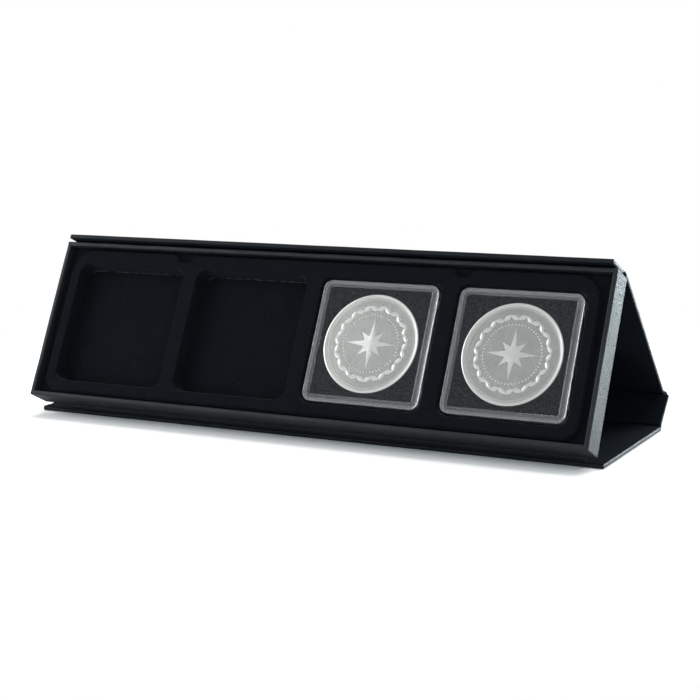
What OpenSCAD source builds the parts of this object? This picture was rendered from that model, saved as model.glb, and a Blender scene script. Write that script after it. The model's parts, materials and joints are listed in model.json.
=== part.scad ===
// Long coin display case, folded into a triangular stand.
// Origin: centre of the base panel's underside. X runs along the case, Y to the back and Z up.
// Every panel has its own frame: y runs along the panel and z from its outer face inwards.

/* [Tray] */
// Outside length of the tray
tray_l = 238; // [212:1:280]
// Outside height of the tray, from its bottom wall to its top wall
tray_w = 66.4; // [64:0.2:80]
// Outside depth of the tray, from its back to its rim
tray_d = 11.6; // [11.2:0.1:16]
// Lean of the tray on display, measured up from the table
tray_lean = 63.5; // [58:0.5:68]
// Grey board in the tray's walls and back
tray_board_t = 1.3; // [1:0.1:1.6]

/* [Cover] */
// How much longer the base panel is than the tray
base_extra = 4; // [2:0.5:12]
// How much shorter the spine panel is than the base
spine_taper = 1; // [0:0.5:6]
// How much shorter the lid panel is than the base
lid_taper = 5.4; // [0:0.2:8]
// How much shorter the flap panel is than the base
flap_taper = 7; // [0:0.5:8]
// Grey board in the cover's panels
cover_board_t = 1.3; // [1:0.1:1.6]
// How much deeper the base panel is than the tray
base_square = 3.4; // [2:0.1:6]
// Free height over the tray when the case is closed
head_room = 2.1; // [1.5:0.1:3]
// How much deeper the lid is than the base
lid_reach = 4.8; // [4:0.1:6]
// How far the flap reaches past the tray's rim
flap_reach = 1.8; // [1:0.1:4]
// Width of the soft joint between two panels
groove = 4; // [3.8:0.1:5]
// Gap between the flap and the tray's top wall, at the fold
flap_gap = 1.2; // [0.9:0.1:1.6]
// Angle at which the flap dips towards the tray's rim
flap_dip = 1.5; // [0:0.1:2]

/* [Coverings] */
// Thickness of the leatherette
wrap_t = 0.25; // [0.2:0.05:0.4]
// Thickness of the lining sheets
lining_t = 0.25; // [0.2:0.05:0.4]
// Distance from the end of a panel to its lining
lining_inset = 0.3; // [0.2:0.1:3]
// Width of leatherette turned in round the tray's back
back_turn_in = 1.5; // [1:0.1:12]

/* [Tray hinge] */
// Height of the tray's lower edge over the base's inner face
hinge_rise = 2; // [1.6:0.1:2.6]
// Distance from the base's front edge forward to the tray's lower edge
hinge_setback = 0.7; // [0.3:0.1:1.2]
// Distance from each end of the tray to the hinge strip
strip_inset = 4; // [1:0.5:20]
// Width of the strip's glued edge
strip_lap = 0.9; // [0.5:0.1:1.5]

/* [Magnets] */
// Distance between the two magnets in the flap
magnet_spacing = 140; // [60:5:190]
// Diameter of a magnet
magnet_dia = 10; // [6:0.5:11]
// Thickness of a magnet
magnet_t = 0.9; // [0.5:0.1:0.9]
// Length of a steel plate in the tray's wall
plate_l = 24; // [12:1:30]
// Height of a steel plate
plate_h = 6; // [4:0.5:7]
// Thickness of a steel plate
plate_t = 0.5; // [0.3:0.1:0.7]
// Clearance round a magnet or plate
inlay_gap = 0.05; // [0.03:0.01:0.1]

/* [Insert] */
// Length at each end of the tray that the four pockets don't share
pocket_end = 6.2; // [5:0.1:14]
// How far the pockets sit below the middle of the tray
pocket_drop = 0.7; // [0:0.1:1.5]
// Depth of a pocket
pocket_depth = 6.3; // [5.5:0.1:6.8]
// Gap round a capsule in its pocket
pocket_gap = 0.7; // [0.6:0.05:1]
// Thickness of the formed sheet
form_t = 0.8; // [0.5:0.1:1]
// Gap between the insert and the tray's walls
form_gap = 0.3; // [0.1:0.05:0.5]
// Step from the tray's rim down to the platform
platform_step = 0.8; // [0.4:0.1:1.5]
// Depth of the trench round the platform
trench_depth = 2; // [1:0.1:5]
// Width of the trench at the tray's ends
trench_end = 3.4; // [2:0.1:5]
// Width of the trench along the bottom wall
trench_bottom = 1.3; // [1:0.1:3]
// Width of the trench along the top wall
trench_top = 1.5; // [1:0.1:3]
// Corner radius at the platform's top edge
platform_top_r = 10; // [6:0.5:12]
// Corner radius at the platform's bottom edge
platform_bottom_r = 6; // [4:0.5:8]
// Distance from the middle of the tray to each finger notch
notch_x = 60.5; // [50:0.5:62]
// Width of a notch at the platform's edge
notch_w = 9; // [6:0.5:12]
// Width of a notch at its inner end
notch_inner_w = 4.6; // [3:0.2:8]
// Depth of a notch
notch_depth = 2.8; // [1:0.1:3]

/* [Capsule] */
// Width and height of a capsule
capsule_w = 47.8; // [47:0.1:48.6]
// Thickness of a closed capsule
capsule_t = 6.25; // [6:0.05:6.5]
// Corner radius of a capsule
capsule_r = 3.4; // [2.6:0.1:5]
// Outer wall of the capsule's base
capsule_wall = 1.2; // [0.9:0.1:1.3]
// Floor of the capsule's base
capsule_floor = 1; // [0.8:0.1:1.2]
// Top plate of the capsule's cover
cover_plate = 0.9; // [0.7:0.1:1.1]
// Skirt of the capsule's cover
cover_skirt = 1; // [0.7:0.1:1.1]
// Height of the seam between base and cover
seam_z = 4.6; // [3:0.1:4.8]
// Clearance between the capsule's pieces
capsule_gap = 0.15; // [0.1:0.01:0.2]
// How far a snap tab stands out
tab_out = 0.45; // [0.2:0.05:0.5]
// Width of a snap tab
tab_w = 2.6; // [1.5:0.1:4]
// Distance from the middle of the capsule to a snap tab
tab_y = 17; // [10:0.5:19]

/* [Foam and coin] */
// Foam left under the coin
foam_floor = 1.3; // [0.8:0.1:1.5]
// Clearance round the coin in the foam
coin_gap = 0.15; // [0.1:0.05:0.3]
// Diameter of the coin
coin_dia = 38.7; // [36:0.1:39.2]
// Thickness of the coin at its rim
coin_t = 2.8; // [2.2:0.1:2.9]
// Width of the coin's raised rim
rim_w = 1.1; // [0.6:0.1:2]
// Depth of the coin's field below its rim
field_depth = 0.3; // [0.15:0.05:0.4]
// Height of the struck design over the field
relief_h = 0.18; // [0.05:0.01:0.25]
// Number of leaves in the wreath
leaf_count = 28; // [16:2:36]
// Radius of the wreath
wreath_r = 13.6; // [12:0.1:15]
// Length of a leaf
leaf_l = 3.6; // [2.4:0.1:4]
// Width of a leaf
leaf_w = 1.5; // [0.8:0.1:1.8]
// Radius of the star's long points
star_r = 9.6; // [6:0.1:10]
// Radius of the star's short points
star_short_r = 5.8; // [4:0.1:7]
// Radius between the star's points
star_notch_r = 2.6; // [1.5:0.1:4]

/* [Hidden] */
$fn = 48;

// Lengths of the four cover panels
base_l = tray_l + base_extra;
spine_l = base_l - spine_taper;
lid_l = base_l - lid_taper;
flap_l = base_l - flap_taper;

// Heights through a cover panel, from its outer face
cover_lining_z = wrap_t + cover_board_t;
cover_t = cover_lining_z + lining_t;

// Panel depths between fold lines, so that the case also closes round the tray
base_d = tray_w + base_square;
spine_w = tray_d + 2 * cover_t + head_room;
lid_w = base_d + lid_reach;
flap_w = tray_d + flap_reach;

// The tray's lower back edge, and the direction up the tray
base_front = -base_d / 2;
tray_y = base_front - hinge_setback;
tray_z = cover_t + hinge_rise;
tray_up = [cos(tray_lean), sin(tray_lean)];
tray_out = [-sin(tray_lean), cos(tray_lean)];

// The fold between lid and flap lies over the tray's top wall
fold_out = 0.1;
flap_fold = [tray_y, tray_z] + (tray_w + flap_gap + cover_t) * tray_up + fold_out * tray_out;

// Spine and lid close the triangle from the back of the base to that fold
spine_fold = [base_d / 2, 0];
span = flap_fold - spine_fold;
span_l = norm(span);
spine_rise = atan2(span[1], span[0])
    - acos((spine_w ^ 2 + span_l ^ 2 - lid_w ^ 2) / (2 * spine_w * span_l));
lid_fold = spine_fold + spine_w * [cos(spine_rise), sin(spine_rise)];
lid_rise = atan2(flap_fold[1] - lid_fold[1], flap_fold[0] - lid_fold[0]);
lid_bend = lid_rise - spine_rise;
flap_bend = 90 + tray_lean + flap_dip - lid_rise;
echo(spine_rise=spine_rise, lid_bend=lid_bend, flap_bend=flap_bend);
echo(spine_fold=spine_fold, lid_fold=lid_fold, flap_fold=flap_fold);

// Heights in the tray, from its back
wall_t = 2 * wrap_t + tray_board_t;
well_floor = wrap_t + tray_board_t;
wall_h = tray_d - wrap_t - well_floor;
platform_v = tray_d - platform_step;
flange_v = platform_v - trench_depth;
pocket_v = platform_v - pocket_depth;

// The well inside the tray's walls, and the platform in it
well_l = tray_l - 2 * wall_t;
well_w = tray_w - 2 * wall_t;
platform_l = well_l - 2 * trench_end;
platform_w = well_w - trench_bottom - trench_top;
platform_u = wall_t + trench_bottom;

// Pockets and what they hold
pocket_count = 4;
pocket_pitch = (tray_l - 2 * pocket_end) / pocket_count;
pocket_w = capsule_w + 2 * pocket_gap;
pocket_r = capsule_r + pocket_gap;
pocket_u = tray_w / 2 - pocket_drop;
seat_gap = 0.05;
cavity_w = capsule_w - 2 * capsule_wall;
cavity_r = capsule_r - capsule_wall;
skirt_w = cavity_w - 2 * capsule_gap;
skirt_r = cavity_r - capsule_gap;
skirt_in_w = skirt_w - 2 * cover_skirt;
skirt_in_r = skirt_r - cover_skirt / 2;
plate_z = capsule_t - cover_plate;
foam_z = capsule_floor + seat_gap;
foam_w = skirt_in_w - 2 * capsule_gap;
coin_z = foam_z + foam_floor + seat_gap;
foam_top = coin_z + coin_t - 2 * seat_gap;
tab_h = 1.2;

leatherette = [0.07, 0.07, 0.08];
matte_black = [0.03, 0.03, 0.035];
grey_board = [0.45, 0.43, 0.4];
flock = [0.02, 0.02, 0.025];
steel = [0.6, 0.61, 0.63];
clear = [0.82, 0.87, 0.9, 0.45];
foam_black = [0.12, 0.12, 0.13];
silver = [0.78, 0.78, 0.76];

// Frames of the tray, the panels and the pockets
module on_tray() {
    translate([0, tray_y, tray_z]) rotate([tray_lean, 0, 0]) children();
}
module on_base() {
    translate([0, base_front, 0]) children();
}
module on_spine() {
    translate([0, spine_fold[0], spine_fold[1]]) rotate([spine_rise, 0, 0]) children();
}
module on_lid() {
    on_spine() translate([0, spine_w, 0]) rotate([lid_bend, 0, 0]) children();
}
module on_flap() {
    on_lid() translate([0, lid_w, 0]) rotate([flap_bend, 0, 0]) children();
}
module in_pocket(i) {
    x = (i - (pocket_count - 1) / 2) * pocket_pitch;
    on_tray() translate([x, pocket_u, pocket_v + seat_gap]) children();
}

// Outline in the panel's side view, drawn along the case
module along_case(l) {
    translate([-l / 2, 0, 0]) rotate([90, 0, 90]) linear_extrude(l) children();
}

// Block centred on x that starts at y and z
module slab(l, y, d, z, t) {
    translate([-l / 2, y, z]) cube([l, d, t]);
}

// Rounded outline standing on y = 0, with its own radius at the bottom and at the top
module rounded(w, h, bottom_r, top_r) {
    translate([-w / 2, bottom_r]) square([w, h - bottom_r - top_r]);
    translate([bottom_r - w / 2, 0]) square([w - 2 * bottom_r, bottom_r + 0.01]);
    translate([top_r - w / 2, h - top_r - 0.01]) square([w - 2 * top_r, top_r + 0.01]);
    for (s = [-1, 1]) {
        translate([s * (w / 2 - bottom_r), bottom_r]) circle(bottom_r);
        translate([s * (w / 2 - top_r), h - top_r]) circle(top_r);
    }
}

module rounded_square(w, r) {
    translate([0, -w / 2]) rounded(w, w, r, r);
}

// One cover panel from y = from to y = to. The wrap folds up round its free edges.
module panel_wrap(l, from, to, free_start, free_end) {
    inner_from = free_start ? from + wrap_t : from - 1;
    inner_to = free_end ? to - wrap_t : to + 1;
    difference() {
        slab(l, from, to - from, 0, cover_lining_z);
        slab(l - 2 * wrap_t, inner_from, inner_to - inner_from, wrap_t, cover_t);
    }
}
module panel_board(l, from, to, free_start, free_end) {
    inner_from = free_start ? from + wrap_t : from;
    inner_to = free_end ? to - wrap_t : to;
    slab(l - 2 * wrap_t, inner_from, inner_to - inner_from, wrap_t, cover_board_t);
}
module panel_lining(l, from, to, free_start, free_end) {
    inner_from = free_start ? from + lining_inset : from;
    inner_to = free_end ? to - lining_inset : to;
    slab(l - 2 * lining_inset, inner_from, inner_to - inner_from, cover_lining_z, lining_t);
}

// Soft joint: wrap and lining bent round the fold line, from one panel's edge to the next
module fold_strip(l, bend) {
    reach = groove / 2;
    strip_t = wrap_t + lining_t;
    corner = strip_t * tan(bend / 2);
    next = [cos(bend), sin(bend)];
    inward = [-sin(bend), cos(bend)];
    along_case(l) polygon([
        [-reach, 0],
        [0, 0],
        reach * next,
        reach * next + strip_t * inward,
        [-corner, strip_t],
        [-reach, strip_t]
    ]);
}

// Base panel
base_end = base_d - groove / 2;
module base_board() { color(grey_board) on_base() panel_board(base_l, 0, base_end, true, false); }
module base_outer_wrap() { color(leatherette) on_base() panel_wrap(base_l, 0, base_end, true, false); }
module base_lining() { color(matte_black) on_base() panel_lining(base_l, 0, base_end, true, false); }

// Spine panel
spine_end = spine_w - groove / 2;
module spine_board() { color(grey_board) on_spine() panel_board(spine_l, groove / 2, spine_end, false, false); }
module spine_outer_wrap() {
    color(leatherette) on_spine() panel_wrap(spine_l, groove / 2, spine_end, false, false);
}
module spine_lining() {
    color(matte_black) on_spine() panel_lining(spine_l, groove / 2, spine_end, false, false);
}

// Lid panel
lid_end = lid_w - groove / 2;
module lid_board() { color(grey_board) on_lid() panel_board(lid_l, groove / 2, lid_end, false, false); }
module lid_outer_wrap() { color(leatherette) on_lid() panel_wrap(lid_l, groove / 2, lid_end, false, false); }
module lid_lining() { color(matte_black) on_lid() panel_lining(lid_l, groove / 2, lid_end, false, false); }

// Flap panel, with its magnets let into the board from the inner face
magnet_y = (groove / 2 + flap_w) / 2;
module at_magnets() {
    for (s = [-1, 1]) translate([s * magnet_spacing / 2, magnet_y, cover_lining_z]) children();
}
module flap_board() {
    color(grey_board) on_flap() difference() {
        panel_board(flap_l, groove / 2, flap_w, false, true);
        at_magnets() translate([0, 0, -magnet_t - inlay_gap])
            cylinder(h = magnet_t + 1, d = magnet_dia + 2 * inlay_gap);
    }
}
module flap_magnets() {
    color(steel) on_flap() at_magnets() translate([0, 0, -magnet_t])
        cylinder(h = magnet_t, d = magnet_dia);
}
module flap_outer_wrap() { color(leatherette) on_flap() panel_wrap(flap_l, groove / 2, flap_w, false, true); }
module flap_lining() { color(matte_black) on_flap() panel_lining(flap_l, groove / 2, flap_w, false, true); }

// Soft joints
module base_spine_fold() {
    color(leatherette) translate([0, spine_fold[0], 0]) fold_strip(spine_l, spine_rise);
}
module spine_lid_fold() {
    color(leatherette) on_spine() translate([0, spine_w, 0]) fold_strip(lid_l, lid_bend);
}
module lid_flap_fold() {
    color(leatherette) on_lid() translate([0, lid_w, 0]) fold_strip(flap_l, flap_bend);
}
module tray_hinge_strip() {
    edge = [tray_y, tray_z];
    color(leatherette) along_case(tray_l - 2 * strip_inset) polygon([
        [base_front + lining_inset, cover_t],
        [base_front + lining_inset + strip_lap, cover_t],
        edge + strip_lap * tray_up,
        edge
    ]);
}

// Tray boards
module wall_block(x, u, w, h) {
    translate([x, u, well_floor]) cube([w, h, wall_h]);
}
module at_plates(u) {
    for (s = [-1, 1])
        translate([s * magnet_spacing / 2, u, well_floor + wall_h / 2]) children();
}
module plate(gap, t) {
    cube([plate_l + 2 * gap, t, plate_h + 2 * gap], center = true);
}
board_x = -tray_l / 2 + wrap_t;
board_l = tray_l - 2 * wrap_t;
board_w = tray_w - 2 * wrap_t;
plate_out = plate_t / 2 + inlay_gap;
module tray_back_board() {
    color(grey_board) on_tray() translate([board_x, wrap_t, wrap_t]) cube([board_l, board_w, tray_board_t]);
}
module tray_bottom_wall() {
    color(grey_board) on_tray() difference() {
        wall_block(board_x, wrap_t, board_l, tray_board_t);
        at_plates(wrap_t) plate(inlay_gap, 2 * (plate_t + 2 * inlay_gap));
    }
}
module tray_top_wall() {
    color(grey_board) on_tray() difference() {
        wall_block(board_x, tray_w - wrap_t - tray_board_t, board_l, tray_board_t);
        at_plates(tray_w - wrap_t) plate(inlay_gap, 2 * (plate_t + 2 * inlay_gap));
    }
}
module tray_left_wall() {
    color(grey_board) on_tray() wall_block(board_x, wrap_t + tray_board_t, tray_board_t, board_w - 2 * tray_board_t);
}
module tray_right_wall() {
    color(grey_board) on_tray()
        wall_block(-board_x - tray_board_t, wrap_t + tray_board_t, tray_board_t, board_w - 2 * tray_board_t);
}
module tray_bottom_plates() {
    color(steel) on_tray() at_plates(wrap_t + plate_out) plate(0, plate_t);
}
module tray_top_plates() {
    color(steel) on_tray() at_plates(tray_w - wrap_t - plate_out) plate(0, plate_t);
}

// Leatherette over the walls' outer faces, the rim and their inner faces, and round the back's edges
module tray_wrap() {
    well_board = tray_l - 2 * (wall_t - wrap_t);
    well_board_w = tray_w - 2 * (wall_t - wrap_t);
    color(leatherette) on_tray() difference() {
        slab(tray_l, 0, tray_w, 0, tray_d);
        slab(board_l, wrap_t, board_w, wrap_t, tray_board_t);
        difference() {
            slab(board_l, wrap_t, board_w, well_floor, wall_h);
            slab(well_board, wall_t - wrap_t, well_board_w, well_floor - 1, wall_h + 2);
        }
        slab(well_l, wall_t, well_w, well_floor - 0.01, tray_d);
        slab(tray_l - 2 * back_turn_in, back_turn_in, tray_w - 2 * back_turn_in, -1, 1 + wrap_t + 0.01);
    }
}
module tray_back_lining() {
    inset = back_turn_in;
    color(matte_black) on_tray() slab(tray_l - 2 * inset, inset, tray_w - 2 * inset, 0, wrap_t);
}

// Formed insert: a platform with pockets, a flange round it and a skirt that stands on the tray's board
module notch(grow) {
    translate([0, platform_w]) polygon([
        [-notch_w / 2 - grow, 1],
        [-notch_w / 2 - grow, 0],
        [-notch_inner_w / 2 - grow, -notch_depth - grow],
        [notch_inner_w / 2 + grow, -notch_depth - grow],
        [notch_w / 2 + grow, 0],
        [notch_w / 2 + grow, 1]
    ]);
}
module platform_outline(inset) {
    translate([0, platform_u]) difference() {
        translate([0, inset]) rounded(
            platform_l - 2 * inset,
            platform_w - 2 * inset,
            platform_bottom_r - inset,
            platform_top_r - inset
        );
        for (s = [-1, 1]) translate([s * notch_x, 0]) notch(inset);
    }
}
module pockets(grow, low, high) {
    for (i = [0:pocket_count - 1])
        translate([(i - (pocket_count - 1) / 2) * pocket_pitch, pocket_u, low])
            linear_extrude(high - low) rounded_square(pocket_w + 2 * grow, pocket_r + grow);
}
module pocket_insert() {
    l = well_l - 2 * form_gap;
    w = well_w - 2 * form_gap;
    u = wall_t + form_gap;
    flange_low = flange_v - form_t;
    foot = well_floor + seat_gap;
    color(flock) on_tray() difference() {
        union() {
            difference() {
                slab(l, u, w, foot, flange_v - foot);
                slab(l - 2 * form_t, u + form_t, w - 2 * form_t, foot - 1, flange_low - foot + 1);
            }
            translate([0, 0, flange_low]) linear_extrude(platform_v - flange_low) platform_outline(0);
            pockets(form_t, pocket_v - form_t, platform_v - 0.1);
        }
        difference() {
            translate([0, 0, flange_low - 1])
                linear_extrude(platform_v - form_t - flange_low + 1) platform_outline(form_t);
            pockets(form_t, pocket_v - form_t, platform_v);
        }
        pockets(0, pocket_v, tray_d);
    }
}

// Square capsule: a clear base, a clear cover with a skirt inside the base's wall, and a foam ring
module capsule_base() {
    color(clear) {
        difference() {
            linear_extrude(seam_z) rounded_square(capsule_w, capsule_r);
            translate([0, 0, capsule_floor]) linear_extrude(capsule_t) rounded_square(cavity_w, cavity_r);
        }
        for (s = [-1, 1]) for (y = [-tab_y, tab_y])
            translate([s * (capsule_w / 2 + tab_out / 2), y, seam_z - tab_h / 2])
                cube([tab_out, tab_w, tab_h], center = true);
    }
}
module capsule_cover() {
    rim_z = seam_z + seat_gap;
    skirt_z = capsule_floor + seat_gap;
    color(clear) difference() {
        union() {
            translate([0, 0, rim_z]) linear_extrude(capsule_t - rim_z) rounded_square(capsule_w, capsule_r);
            translate([0, 0, skirt_z]) linear_extrude(capsule_t - skirt_z) rounded_square(skirt_w, skirt_r);
        }
        linear_extrude(plate_z) rounded_square(skirt_in_w, skirt_in_r);
    }
}
module foam_insert() {
    color(foam_black) difference() {
        translate([0, 0, foam_z]) linear_extrude(foam_top - foam_z) rounded_square(foam_w, skirt_in_r);
        translate([0, 0, foam_z + foam_floor]) cylinder(h = capsule_t, d = coin_dia + 2 * coin_gap);
    }
}

// Coin: a raised rim and a struck star in a ring of leaves, on both faces
module leaf() {
    n = 4;
    side = [for (i = [0:n]) [leaf_l * (i / n - 0.5), leaf_w / 2 * sin(180 * i / n)]];
    polygon(concat(side, [for (i = [n - 1:-1:1]) [side[i][0], -side[i][1]]]));
}
module star() {
    polygon([
        for (i = [0:15])
            (i % 4 == 0 ? star_r : i % 4 == 2 ? star_short_r : star_notch_r) * [sin(22.5 * i), cos(22.5 * i)]
    ]);
}
module struck_design() {
    linear_extrude(relief_h + 0.01) {
        star();
        for (i = [0:leaf_count - 1])
            rotate(360 * i / leaf_count) translate([wreath_r, 0]) rotate(i % 2 == 0 ? 65 : 115) leaf();
    }
}
module coin() {
    color(silver) translate([0, 0, coin_z]) {
        rotate_extrude($fn = 96) polygon([
            [0, field_depth],
            [coin_dia / 2 - rim_w, field_depth],
            [coin_dia / 2 - rim_w, 0],
            [coin_dia / 2, 0],
            [coin_dia / 2, coin_t],
            [coin_dia / 2 - rim_w, coin_t],
            [coin_dia / 2 - rim_w, coin_t - field_depth],
            [0, coin_t - field_depth]
        ]);
        translate([0, 0, coin_t - field_depth - 0.01]) struck_design();
        translate([0, 0, field_depth + 0.01]) rotate([0, 180, 0]) struck_design();
    }
}

base_board();
base_outer_wrap();
base_lining();
spine_board();
spine_outer_wrap();
spine_lining();
lid_board();
lid_outer_wrap();
lid_lining();
flap_board();
flap_outer_wrap();
flap_lining();
flap_magnets();
base_spine_fold();
spine_lid_fold();
lid_flap_fold();
tray_hinge_strip();
tray_back_board();
tray_top_wall();
tray_bottom_wall();
tray_left_wall();
tray_right_wall();
tray_wrap();
tray_back_lining();
tray_top_plates();
tray_bottom_plates();
pocket_insert();
in_pocket(2) capsule_base();  // third_capsule_base
in_pocket(2) capsule_cover();  // third_capsule_cover
in_pocket(2) foam_insert();  // third_foam
in_pocket(2) coin();  // third_coin
in_pocket(3) capsule_base();  // fourth_capsule_base
in_pocket(3) capsule_cover();  // fourth_capsule_cover
in_pocket(3) foam_insert();  // fourth_foam
in_pocket(3) coin();  // fourth_coin
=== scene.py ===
# %% [markdown]
# # Dressing a coin display case
# The case is a long black box whose cover folds into a triangle, so that its tray leans
# back like a picture. The tray holds four pockets, and two of them hold a coin in a clear
# square capsule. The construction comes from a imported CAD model, the frame. This lesson
# adds what the eye looks for: soft edges, leather grain, flock, clear plastic and silver.

# %% Load the frame
import json
import math

import bmesh
import bpy
from mathutils import Matrix, Vector, noise


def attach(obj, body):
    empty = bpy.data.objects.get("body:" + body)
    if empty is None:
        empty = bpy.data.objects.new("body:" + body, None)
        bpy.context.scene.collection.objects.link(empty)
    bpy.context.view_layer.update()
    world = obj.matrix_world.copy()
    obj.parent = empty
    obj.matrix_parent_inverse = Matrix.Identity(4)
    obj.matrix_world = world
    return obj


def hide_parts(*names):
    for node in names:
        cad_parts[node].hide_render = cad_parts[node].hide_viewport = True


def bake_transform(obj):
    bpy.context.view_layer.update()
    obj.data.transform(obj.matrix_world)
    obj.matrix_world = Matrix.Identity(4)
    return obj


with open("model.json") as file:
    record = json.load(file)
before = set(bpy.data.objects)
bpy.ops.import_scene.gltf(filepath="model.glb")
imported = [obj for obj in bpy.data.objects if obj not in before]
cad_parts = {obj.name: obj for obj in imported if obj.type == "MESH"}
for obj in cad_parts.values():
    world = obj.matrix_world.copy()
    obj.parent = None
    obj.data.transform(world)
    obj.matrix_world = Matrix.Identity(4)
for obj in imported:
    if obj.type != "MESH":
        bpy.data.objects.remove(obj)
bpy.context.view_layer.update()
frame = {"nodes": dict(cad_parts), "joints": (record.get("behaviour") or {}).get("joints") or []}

# %% [markdown]
# ## Measure in leaning frames
# The tray and the panels lean, so a plain box round them says little. Each one gets a
# frame of its own instead: x runs along the case, y along the panel and z across its
# thickness. The lean comes from the hinges, and the sizes from the CAD nodes, so nothing
# has to be fitted by eye. Pieces are drawn in millimetres and placed by one matrix.

# %% Frames of the tray and the four panels
MM = 0.001
joints = {j["name"]: j for j in frame["joints"]}


def hinge_point(name):
    return Vector(joints[name]["pos_m"]) / MM


def direction(start, end):
    return math.atan2(end.z - start.z, end.y - start.y)


def leaning(origin, angle):
    """Matrix from a leaning frame in millimetres to the case in metres."""
    turn = Matrix.Rotation(angle, 4, "X")
    return Matrix.Translation(Vector(origin) * MM) @ turn @ Matrix.Scale(MM, 4)


def measure(node, place):
    """Lowest and highest corner of a CAD node in a leaning frame, in millimetres."""
    back = place.inverted()
    points = [back @ v.co for v in frame["nodes"][node].data.vertices]
    low = Vector([min(p[i] for p in points) for i in range(3)])
    high = Vector([max(p[i] for p in points) for i in range(3)])
    return low, high


base_back = hinge_point("spine_hinge")
spine_top = hinge_point("lid_hinge")
lid_top = hinge_point("flap_hinge")
spine_angle = direction(base_back, spine_top)
lid_angle = direction(spine_top, lid_top)
flap_angle = lid_angle - math.radians(joints["flap_hinge"]["range_deg"][0])
tray_angle = -math.radians(joints["tray_hinge"]["range_deg"][0])

PANELS = {
    "base": leaning(base_back, 0),
    "spine": leaning(base_back, spine_angle),
    "lid": leaning(spine_top, lid_angle),
    "flap": leaning(lid_top, flap_angle),
}
corner = measure("tray_wrap", leaning((0, 0, 0), tray_angle))[0]
tray_corner = Matrix.Rotation(tray_angle, 3, "X") @ Vector((0, corner.y, corner.z))
TRAY = leaning(tray_corner, tray_angle)

tray_high = measure("tray_wrap", TRAY)[1]
tray_l, tray_w, tray_d = 2 * tray_high.x, tray_high.y, tray_high.z
panel_t = measure("base_lining", PANELS["base"])[1].z
print(f"tray {tray_l:.1f} x {tray_w:.1f} x {tray_d:.1f} mm, panels {panel_t:.1f} mm")

# %% [markdown]
# ## The camera
# The picture was taken from the front right, a little above the case. A camera is three
# things: where it stands, which way it looks, and how long its lens is. The lens is
# worked out from a focal length in pixels, because the picture is 700 pixels wide.

# %% Camera
frame_px = 700
focal_px = 1641.2
sensor_mm = 36.0
camera_at = Vector((0.29769, -0.56908, 0.13704))
look_azimuth, look_down, camera_roll = (math.radians(a) for a in (27.284, 9.616, -0.491))


def new_object(name, data):
    """An object with this data, linked to the scene."""
    obj = bpy.data.objects.new(name, data)
    bpy.context.scene.collection.objects.link(obj)
    return obj


def camera_turn():
    forward = Vector((
        -math.sin(look_azimuth) * math.cos(look_down),
        math.cos(look_azimuth) * math.cos(look_down),
        -math.sin(look_down),
    ))
    right = forward.cross(Vector((0, 0, 1))).normalized()
    up = right.cross(forward)
    c, s = math.cos(camera_roll), math.sin(camera_roll)
    return Matrix((c * right + s * up, c * up - s * right, -forward)).transposed().to_4x4()


camera = new_object("camera", bpy.data.cameras.new("camera"))
camera.matrix_world = Matrix.Translation(camera_at) @ camera_turn()
camera.data.sensor_width = sensor_mm
camera.data.lens = focal_px / frame_px * sensor_mm
camera.data.clip_start = 0.01
bpy.context.scene.camera = camera
print(f"lens {camera.data.lens:.1f} mm")

# %% [markdown]
# ## Shader groups
# Black pieces are told apart by their surface alone, so the grain does much of the work.
# Three effects turn up on several materials: a pebbled grain, slow changes of tone, and
# specks of lint. Each is a group with named inputs, built once. A group gives out only
# masks and heights, and the shader itself stays in the material.

# %% Node helpers
def put(tree, socket, value):
    if isinstance(value, bpy.types.NodeSocket):
        tree.links.new(value, socket)
    else:
        socket.default_value = value


def calc(tree, operation, a, b=0.0):
    node = tree.nodes.new("ShaderNodeMath")
    node.operation = operation
    put(tree, node.inputs[0], a)
    put(tree, node.inputs[1], b)
    return node.outputs[0]


def fit(tree, value, low, high, to_low, to_high):
    """Maps low to to_low and high to to_high, and holds what lies outside."""
    node = tree.nodes.new("ShaderNodeMapRange")
    for i, v in enumerate((value, low, high, to_low, to_high)):
        put(tree, node.inputs[i], v)
    return node.outputs[0]


def noise_at(tree, vector, scale, detail=2.0):
    node = tree.nodes.new("ShaderNodeTexNoise")
    put(tree, node.inputs["Vector"], vector)
    put(tree, node.inputs["Scale"], scale)
    node.inputs["Detail"].default_value = detail
    return node.outputs["Fac"]


def shader_group(name, inputs, outputs):
    group = bpy.data.node_groups.new(name, "ShaderNodeTree")
    group.interface.new_socket("Vector", in_out="INPUT", socket_type="NodeSocketVector")
    for label, value in inputs.items():
        socket = group.interface.new_socket(label, in_out="INPUT", socket_type="NodeSocketFloat")
        socket.default_value = value
    for label in outputs:
        group.interface.new_socket(label, in_out="OUTPUT", socket_type="NodeSocketFloat")
    given = group.nodes.new("NodeGroupInput").outputs
    made = group.nodes.new("NodeGroupOutput").inputs
    return group, given, made


# %% Grain: pebbles of embossed leather, with fine slanting scratches between them
grain_group, given, made = shader_group("grain", {"Scale": 1500, "Streak": 0.3}, ["Height", "Tone"])
pebbles = grain_group.nodes.new("ShaderNodeTexVoronoi")
put(grain_group, pebbles.inputs["Vector"], given["Vector"])
put(grain_group, pebbles.inputs["Scale"], given["Scale"])
slant = grain_group.nodes.new("ShaderNodeMapping")
slant.inputs["Rotation"].default_value = (math.radians(38), 0, math.radians(20))
slant.inputs["Scale"].default_value = (1, 0.14, 1)
put(grain_group, slant.inputs["Vector"], given["Vector"])
streaks = noise_at(grain_group, slant.outputs[0], given["Scale"])
clump_scale = calc(grain_group, "MULTIPLY", given["Scale"], 0.35)
clump_height = calc(grain_group, "MULTIPLY", noise_at(grain_group, given["Vector"], clump_scale, 3), 0.5)
streak_height = calc(grain_group, "MULTIPLY", streaks, given["Streak"])
rough_height = calc(grain_group, "ADD", clump_height, streak_height)
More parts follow.
